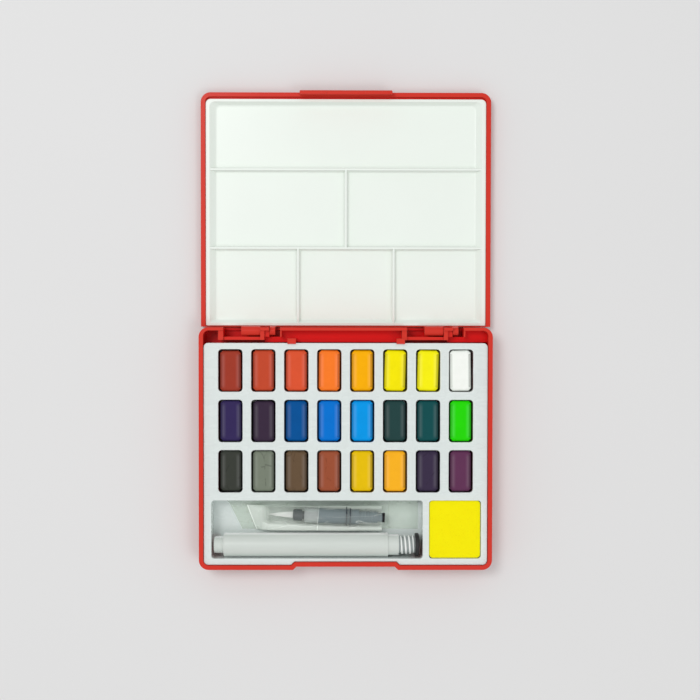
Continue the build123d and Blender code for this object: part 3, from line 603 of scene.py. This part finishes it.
def wellGapShade(name, number, material):
    # Ring-shaped skin of painted shade on the well's wall and the edge of its floor: a small closed section
    # (inset, height) carried round the well's rounded rectangle, with a ragged top edge
    row, column = divmod(number, wellLook["columns"])
    off = gapShadeLook["off"]
    skin = gapShadeLook["skin"]
    floor = wellLook["floor"] + off
    top = gapShadeLook["top"]
    section = [(off, floor), (off, (floor + top) / 2), (off, top), (off + skin, top),
               (off + skin, (floor + top) / 2), (off + skin, floor + skin),
               (off + gapShadeLook["reach"], floor + skin), (off + gapShadeLook["reach"], floor)]
    points = stackedRings(wellLook["width"], wellLook["length"], wellLook["corner"], section,
                          wellLook["cornerSteps"], wellLook["sideSteps"])
    points[..., 0] += wellLook["firstX"] + column * wellLook["pitchX"] + wellLook["width"] / 2
    points[..., 1] += wellLook["firstY"] - row * wellLook["pitchY"] - wellLook["length"] / 2
    ragged = waves(points[2:4] * (1, 1, 0), gapShadeLook["raggedLength"], gapShadeLook["seed"] + number)
    points[2:4, :, 2] += ragged * gapShadeLook["ragged"]
    return gridPiece(name, points, material, closeRows=True, closeColumns=True)


for number, (colourName, (colour, cracked)) in enumerate(paintLooks.items()):
    middle = (np.array(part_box(f"tablet_{colourName}")).mean(axis=0) / mm).tolist()
    coat(f"tablet_{colourName}", watercolour(f"paint_{colourName}", colour, cracked, middle))
    # dark skins of painted shade in the gaps round the tablets
    gapShadePiece = wellGapShade(f"well_gap_shade_{colourName}", number, gapShadeFinish(f"gap_shade_{colourName}", colour, gapShadeLook))
    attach(gapShadePiece, "base")

print("paints done")

spongeLook = {"colour": tint(252, 238, 0), "cloudColour": tint(248, 233, 0), "mottle": (120.0, 3.0),
              "pores": ((620.0, 0.24, 0.6), (1426.0, 0.20, 0.4)), "poreGain": 7.0, "poreShadeShare": 0.32,
              "poreShadeColour": tint(214, 190, 0), "poreDepth": 0.12 * mm, "bumpStrength": 0.7,
              "sideGlowColour": tint(255, 250, 150), "shadingBorderFrom": 0.93, "shadingBorderGain": 3.0,
              "sideGlowShare": 0.6, "roughness": 0.82, "roughSway": 0.1, "specular": 0.15, "depth": 0.35,
              "depthScale": 2.5 * mm, "depthRadius": (1.0, 0.9, 0.2),
              "corner": 2.2 * mm, "edge": 0.5 * mm, "footShare": 0.4, "belly": 0.17 * mm,
              "crown": 0.3 * mm, "ripple": 0.05 * mm, "rippleLength": 4 * mm, "rippleSeed": 7,
              "cornerSteps": 9, "sideSteps": 18}


def spongeBlock(name, low, high, material):
    # Rounded block: levels run from the middle of the underside out, up a slightly bellied side,
    # over a quarter-round edge and in to the middle of a top that crowns as a parabola
    width, depth, height = high - low
    edge = spongeLook["edge"]
    foot = edge * spongeLook["footShare"]
    reach = width / 2
    levels = [(inset, 0) for inset in np.linspace(reach, foot, 10)]
    levels += [(foot * (1 - math.sin(turn)), foot * (1 - math.cos(turn)))
               for turn in np.linspace(0.2, 1.57, 4)]
    levels += [(-spongeLook["belly"] * math.sin(math.pi * rise), foot + rise * (height - edge - foot))
               for rise in np.linspace(0, 1, 9)]
    levels += [(edge * (1 - math.cos(turn)), height - edge + edge * math.sin(turn))
               for turn in np.linspace(0.15, 1.57, 8)]
    levels += [(inset, height) for inset in np.linspace(edge, reach, 26)[1:]]
    points = stackedRings(width, depth, spongeLook["corner"], levels,
                          spongeLook["cornerSteps"], spongeLook["sideSteps"])
    crown = np.clip(1 - (points[..., :2] / (width / 2, depth / 2)) ** 2, 0, 1).prod(axis=-1)
    lifted = (points[..., 2] / height) ** 8
    points[..., 2] += lifted * (crown - 1) * spongeLook["crown"]
    points += np.array([(low[0] + high[0]) / 2, (low[1] + high[1]) / 2, low[2]])
    ripple = waves(points, spongeLook["rippleLength"], spongeLook["rippleSeed"]) + 1.5
    points[..., 2] -= lifted * ripple * spongeLook["ripple"]
    return gridPiece(name, points, material, closeColumns=True)


spongeBox = [np.array(corner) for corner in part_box("sponge")]
spongePiece = spongeBlock("sponge_block", *spongeBox, foam("yellow_foam", spongeLook))
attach(spongePiece, "sponge")
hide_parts("sponge")
print("sponge done")

# Water tank, in mm: profile (x, r) from the middle of its tail along the outside, into the mouth and back
tankShape = {"tail": 5.5, "tailRadius": 4.85, "radius": 6.75, "ring": 1.4, "ringRadius": 6.85, "neck": 6.1,
             "neckRadius": 5.9, "thread": 9.3, "threadRoot": 4.95, "threadHeight": 0.5, "threadPitch": 2.3,
             "threadSlope": 2.6, "threadStart": 0.6, "threadStop": 0.5, "bore": 4.25, "wall": 0.9,
             "round": 0.5, "roundShare": 0.3, "ringEdge": 0.1, "neckEdge": 0.2, "ribs": 4,
             "ribDepth": 0.22, "ribStop": 0.3, "turnSteps": 96, "outerStep": 0.16, "innerStep": 2.0}
threadLook = {"colour": tint(214, 224, 222), "crestHighlightColour": tint(250, 252, 250), "crestFrom": 0.12,
              "crestGain": 5.0, "alpha": 0.34, "crestHighlightAlpha": 0.6, "roughness": 0.16, "roughSway": 0.1,
              "specular": 0.5}


def clearThread(name, look, axisY, axisZ):
    # Clear plastic of the thread: its crests, told by their distance from the tank's axis, carry a painted
    # white highlight
    finish = Finish(name)
    y, z = finish.axes()[1:]
    above = apart(y - axisY, z - axisZ) - tankShape["threadRoot"] - look["crestFrom"]
    crest = (above * look["crestGain"]).held()
    return finish.done({
        "Base Color": finish.blend(crest, look["colour"], look["crestHighlightColour"]),
        "Roughness": (look["roughness"] + crest * look["roughSway"]).held(),
        "Specular IOR Level": look["specular"], "Alpha": (look["alpha"] + crest * look["crestHighlightAlpha"]).held()})


def tankBarrel(name, material):
    # The profile is turned about the tank's axis; ribs on the tail are a cosine of X, and the screw's ridge
    # is added on the thread
    shape = tankShape
    low, high = (np.array(corner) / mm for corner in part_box("water_tank"))
    left, mouth = low[0], high[0]
    axisY, axisZ = (low[1] + high[1]) / 2, (low[2] + high[2]) / 2
    barrel = left + shape["tail"]
    thread = mouth - shape["thread"]
    neck = thread - shape["neck"]
    ring = neck - shape["ring"]
    soft = shape["round"]
    part = soft * shape["roundShare"]
    ringEdge, neckEdge = shape["ringEdge"], shape["neckEdge"]
    tailR, barrelR, ringR = shape["tailRadius"], shape["radius"], shape["ringRadius"]
    neckR, rootR, bore, wall = shape["neckRadius"], shape["threadRoot"], shape["bore"], shape["wall"]
    outside = [
        (left, 0), (left, tailR - soft), (left + part, tailR - part), (left + soft, tailR), (barrel, tailR),
        (barrel, barrelR - soft), (barrel + part, barrelR - part), (barrel + soft, barrelR), (ring, barrelR),
        (ring, ringR - ringEdge), (ring + ringEdge, ringR), (neck - ringEdge, ringR),
        (neck, ringR - ringEdge), (neck, neckR), (thread - neckEdge, neckR), (thread, neckR - neckEdge),
        (thread, rootR), (mouth, rootR)]
    inside = [
        (mouth, bore), (neck - wall, bore), (neck - 2 * wall, barrelR - wall),
        (barrel + wall, barrelR - wall), (barrel + wall, tailR - wall), (left + wall, tailR - wall),
        (left + wall, 0)]
    outX, outR = sampled(outside, shape["outerStep"])
    inX, inR = sampled(inside, shape["innerStep"])
    ribPhase = (outX - left) / shape["tail"] * shape["ribs"]
    onTail = (outX > left + soft) & (outX < barrel - shape["ribStop"]) & (outR > tailR - 0.05)
    outR = outR - np.where(onTail, shape["ribDepth"] * (0.5 - 0.5 * np.cos(2 * np.pi * ribPhase)), 0)
    onThread = (outX > thread) & (outX < mouth) & (outR < rootR + 0.01)
    ridge = threadRidge(outX, shape["threadSlope"], thread + shape["threadStart"],
                        mouth - shape["threadStop"], shape["threadPitch"], shape["turnSteps"])
    radii = np.repeat(outR[:, None], shape["turnSteps"], axis=1)
    radii += np.where(onThread, 1.0, 0.0)[:, None] * ridge * shape["threadHeight"]
    along = np.concatenate([outX, inX])
    radii = np.concatenate([radii, np.repeat(inR[:, None], shape["turnSteps"], axis=1)])
    start = np.array([0, axisY, axisZ]) * mm
    points = turnedPoints(start, (1, 0, 0), along * mm, radii * mm)
    piece = gridPiece(name, points, material, closeColumns=True)
    piece.data.materials.append(clearThread("clear_thread", threadLook, axisY, axisZ))
    centres = np.empty(3 * len(piece.data.polygons), np.float32)
    piece.data.polygons.foreach_get("center", centres)
    piece.data.polygons.foreach_set("material_index", (centres[::3] > thread * mm).astype(np.int32))
    return piece


tankPiece = tankBarrel("tank_barrel", clearPlastic("frosted_plastic", frostedTank))
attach(tankPiece, "tank")
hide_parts("water_tank")
print("tank done")


def headThread(name, material):
    # Sleeve on the head's threaded end: its outside carries the screw ridge, its inside lies in the body
    shape = headShape
    along = np.arange(shape["threadStart"], shape["threadEnd"], shape["threadStep"])
    ridge = threadRidge(along, shape["threadSlope"], along[0] + shape["threadMargin"],
                        along[-1] - shape["threadMargin"], shape["threadPitch"], shape["turnSteps"])
    outer = shape["threadRadius"] + ridge * shape["threadHeight"]
    inner = np.full_like(outer, shape["threadRadius"] - shape["sleeve"])
    alongBoth = np.concatenate([along, along[::-1]])
    radii = np.concatenate([outer, inner[::-1]])
    points = turnedPoints(collarFront, headDirection, alongBoth * mm, radii * mm)
    return gridPiece(name, points, material, closeRows=True, closeColumns=True)


threadPiece = headThread("brush_body_thread", bodyMaterial)
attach(threadPiece, "brush_head")

hairLook = {"colour": tint(255, 255, 252), "cloudColour": tint(238, 242, 238), "fleck": (3000.0, 2.0),
            "fleckStretch": (0.1, 1.0, 1.0), "roughness": 0.3, "roughSway": 0.2, "clear": 0.05, "ior": 1.5,
            "count": 760, "size": 0.055, "taper": (0, 1, 1, 1, 0.95, 0.7, 0), "sides": 4, "bend": 0.05,
            "point": 0.10, "pointPower": 1.25, "stagger": 0.28, "lengthSway": 0.5, "seed": 11}


def hairTuft(name, material):
    # Hairs stand in a sunflower pattern: hair k starts at radius R sqrt(k / n) and angle k times the golden
    # angle, and runs towards the point, with a small seeded bow; each is a four-sided tube with closed ends
    look = hairLook
    count, sides, rings = look["count"], look["sides"], len(look["taper"])
    tipLength = headShape["tipLength"]
    random = np.random.default_rng(look["seed"])
    index = np.arange(count)
    share = np.sqrt((index + 0.5) / count)
    angle = index * math.pi * (3 - math.sqrt(5))
    length = tipLength * (1 - look["stagger"] * share) - random.uniform(0, look["lengthSway"], count)
    t = np.linspace(0, 1, rings)
    along = headShape["root"] * (1 - t)[None, :] - length[:, None] * t[None, :]
    closing = np.clip(-along / tipLength, 0, 1) ** look["pointPower"]
    spread = (headShape["tipRadius"] - look["size"]) * share[:, None] * (1 - (1 - look["point"]) * closing)
    bow = look["bend"] * np.sin(math.pi * t)[None, :] * random.normal(size=(2, count, 1))
    centreY = spread * np.cos(angle)[:, None] + bow[0]
    centreZ = spread * np.sin(angle)[:, None] + bow[1]
    thick = look["size"] * np.array(look["taper"])[None, :]
    spokes = np.linspace(0, 2 * np.pi, sides, endpoint=False)
    y = centreY[..., None] + thick[..., None] * np.cos(spokes)
    z = centreZ[..., None] + thick[..., None] * np.sin(spokes)
    x = np.broadcast_to(along[..., None], y.shape)
    side = np.array([-headDirection[1], headDirection[0], 0])
    up = np.array([0, 0, 1])
    points = collarFront + mm * (x[..., None] * headDirection + y[..., None] * side + z[..., None] * up)
    one = gridFaces(rings, sides, False, True)
    quads = (one[None, :, :] + rings * sides * index[:, None, None]).reshape(-1, 4)
    return addPiece(name, points.reshape(-1, 3), quads, material)


tuftPiece = hairTuft("brush_hairs", hair("nylon_hair", hairLook))
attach(tuftPiece, "brush_head")
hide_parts("brush_tip")
print("brush done")

# Film sachet, in mm: stations along X, each with the height that the film drapes to above the brush
pouchShape = {"left": -56.6, "right": 20.6, "middleY": -40.35, "halfWidth": 7.1, "floor": 2.32,
              "stations": [-56.6, -50.0, -45.0, -36.0, -29.4, -23.4, -14.0, 0.2, 2.8, 8.0, 19.0, 22.8],
              "tops": [3.4, 6.5, 11.0, 12.4, 13.0, 13.95, 13.7, 14.92, 14.92, 13.4, 12.6, 12.0],
              "slant": 5.6, "slantLength": 9.0, "folds": (9.0, 5.0, 2.8), "crinkle": 0.07, "wave": 0.0,
              "waveLength": 16.0, "seed": 60, "lip": 0.0, "lipFrom": 0.3, "lipWidth": 0.2,
              "lengthSteps": 240, "turnSteps": 96}
pouchLook = {"colour": tint(248, 254, 248), "cloudColour": tint(234, 244, 234),
             "glintLineColour": tint(246, 250, 244), "alpha": 0.10, "alphaSway": 0.10,
             "looseFrom": 4.4, "looseGain": 0.7, "looseLeft": -43.0, "looseLeftGain": 0.2,
             "looseReflectionAlpha": 0.56, "warp": (60.0, 2.0), "warpStretch": (0.5, 1.0, 1.0),
             "crease": (150.0, 2.0), "creaseStretch": (0.12, 1.2, 0.5), "creaseHalf": 0.012,
             "creaseFrom": 0.42, "creaseGain": 9.0, "creaseGlintAlpha": 0.30, "creaseHeight": 0.08 * mm,
             "edgeWidth": 0.035, "edgeGain": 30.0, "edgeGlintAlpha": 0.28,
             "cutWidth": 0.75, "cutGain": 5.0, "cutGlintAlpha": 0.5,
             "seamX": -15.6, "seamTilt": 1.2, "seamWidth": 0.28, "seamGain": 8.0, "seamGlintAlpha": 0.3,
             "roughness": 0.12, "roughSway": 0.1, "specular": 0.3, "bumpStrength": 0.5}
# Its spare back sheet lies flat on the room's floor
sheetShape = dict(
    pouchShape, left=-67.6, right=41.5, middleY=-38.6, halfWidth=8.6, floor=2.2, stations=[-67.6, 41.5],
    tops=[2.32, 2.32], slant=8.5, slantLength=12.0, crinkle=0.0, wave=0.16, seed=80, lip=7.0)
sheetLook = dict(
    pouchLook, colour=tint(226, 238, 224), cloudColour=tint(208, 222, 206), glintLineColour=tint(244, 250, 242),
    alpha=0.24, alphaSway=0.30, looseReflectionAlpha=0.0, warp=(44.0, 2.0), creaseStretch=(0.5, 0.9, 0.5),
    creaseHalf=0.010, creaseGlintAlpha=0.35, edgeWidth=0.02, edgeGlintAlpha=0.15, cutWidth=0.4, cutGlintAlpha=0.25,
    seamX=24.6, seamWidth=0.22, seamGlintAlpha=0.25)


def filmTube(name, material, shape):
    # Ellipse sections along X: the underside lies on the floor, the upper side drapes to the given tops,
    # and sharp folds, made from the size of sine waves, draw the film in; the lip is where its rear edge
    # climbs the room's wall, as the square of the distance
    x = np.linspace(shape["left"], shape["right"], shape["lengthSteps"])
    turn = np.linspace(0, 2 * np.pi, shape["turnSteps"], endpoint=False)
    tops = np.interp(x, shape["stations"], shape["tops"])
    tops = np.convolve(np.pad(tops, 4, mode="edge"), np.ones(9) / 9, mode="valid")
    middle = (tops + shape["floor"]) / 2
    half = (tops - shape["floor"]) / 2
    grid = np.stack(np.broadcast_arrays(
        x[:, None], shape["middleY"] + shape["halfWidth"] * np.cos(turn)[None, :],
        middle[:, None] + half[:, None] * np.sin(turn)[None, :]), axis=-1).copy()
    folds = 0
    for number, length in enumerate(shape["folds"]):
        fold = 1 - np.abs(waves(grid * (0.3, 1, 1), length, shape["seed"] + number))
        folds = folds + fold * length / shape["folds"][0]
    inward = -np.clip(folds, 0, 3) * shape["crinkle"]
    grid[..., 1] += np.cos(turn)[None, :] * inward
    grid[..., 2] += np.clip(np.sin(turn), 0, 1)[None, :] * inward
    grid[..., 2] = np.maximum(grid[..., 2], shape["floor"])
    swell = np.clip(waves(grid * (1, 1, 0), shape["waveLength"], shape["seed"]) + 1, 0, 3)
    grid[..., 2] += shape["wave"] * swell
    fade = np.clip(1 - (x - shape["left"]) / shape["slantLength"], 0, 1)[:, None]
    across = (grid[..., 1] - shape["middleY"]) / (2 * shape["halfWidth"])
    grid[..., 2] += shape["lip"] * np.clip((across - shape["lipFrom"]) / shape["lipWidth"], 0, 1) ** 2
    grid[..., 0] += shape["slant"] * fade * (0.5 - across)
    return gridPiece(name, grid * mm, material, closeColumns=True)


filmPiece = filmTube("sachet_film", clearFilm("clear_film", pouchLook, pouchShape), pouchShape)
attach(filmPiece, "brush_head")
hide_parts("brush_sachet")
sheetPiece = filmTube("sachet_back_sheet", clearFilm("back_sheet_film", sheetLook, sheetShape), sheetShape)
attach(sheetPiece, "brush_head")
print("sachet done")

# Floor, lamps and camera
floorLook = {"size": 12.0, "middleY": 0.07, "drop": 0.02 * mm, "colour": tint(226, 226, 226),
             "cloud": (6.0, 2.0), "cloudDark": 0.98, "roughness": 0.8}
lampLook = {"key": {"place": (-0.50, 0.46, 1.38), "size": 0.5, "watts": 6.8},
            "fill": {"place": (0.56, -0.46, 1.30), "size": 0.5, "watts": 2.7},
            "worldStrength": 0.64, "aimY": 0.066}
cameraLook = {"place": (-2.676 * mm, 71.344 * mm, 700.0 * mm), "turn": (-0.02303, -0.00732, 0.00128),
              "lens": 62.76, "sensor": 36.0}


def addFloor():
    # Flat square grid under the object
    edge = np.linspace(-floorLook["size"] / 2, floorLook["size"] / 2, 3)
    points = np.stack(np.broadcast_arrays(
        edge[:, None], edge[None, :] + floorLook["middleY"], -floorLook["drop"]), axis=-1)
    finish = Finish("pale_floor")
    cloud = finish.noise(finish.place(), *floorLook["cloud"])
    body = finish.blend(cloud, floorLook["colour"], shade(floorLook["colour"], floorLook["cloudDark"]))
    floor = gridPiece("floor", points, finish.done({"Base Color": body, "Roughness": floorLook["roughness"]}))


def addLamps():
    # A key lamp behind on the left, a weaker one in front on the right, and an even white world
    for name in ("key", "fill"):
        lamp = bpy.data.lights.new(name, "AREA")
        lamp.energy = lampLook[name]["watts"]
        lamp.size = lampLook[name]["size"]
        piece = bpy.data.objects.new(name, lamp)
        piece.location = lampLook[name]["place"]
        aim = piece.location.copy()
        aim.y -= lampLook["aimY"]
        piece.rotation_euler = aim.to_track_quat("Z", "Y").to_euler()
        bpy.context.scene.collection.objects.link(piece)
    world = bpy.data.worlds.new("studio")
    world.use_nodes = True
    background = world.node_tree.nodes["Background"].inputs
    background["Color"].default_value = (1, 1, 1, 1)
    background["Strength"].default_value = lampLook["worldStrength"]
    bpy.context.scene.world = world


def addCamera():
    data = bpy.data.cameras.new("camera")
    data.sensor_width = cameraLook["sensor"]
    data.lens = cameraLook["lens"]
    camera = bpy.data.objects.new("camera", data)
    camera.location = cameraLook["place"]
    camera.rotation_euler = cameraLook["turn"]
    bpy.context.scene.collection.objects.link(camera)
    bpy.context.scene.camera = camera


addFloor()
addLamps()
addCamera()
bpy.context.scene.view_settings.view_transform = "Standard"
print("stage done")
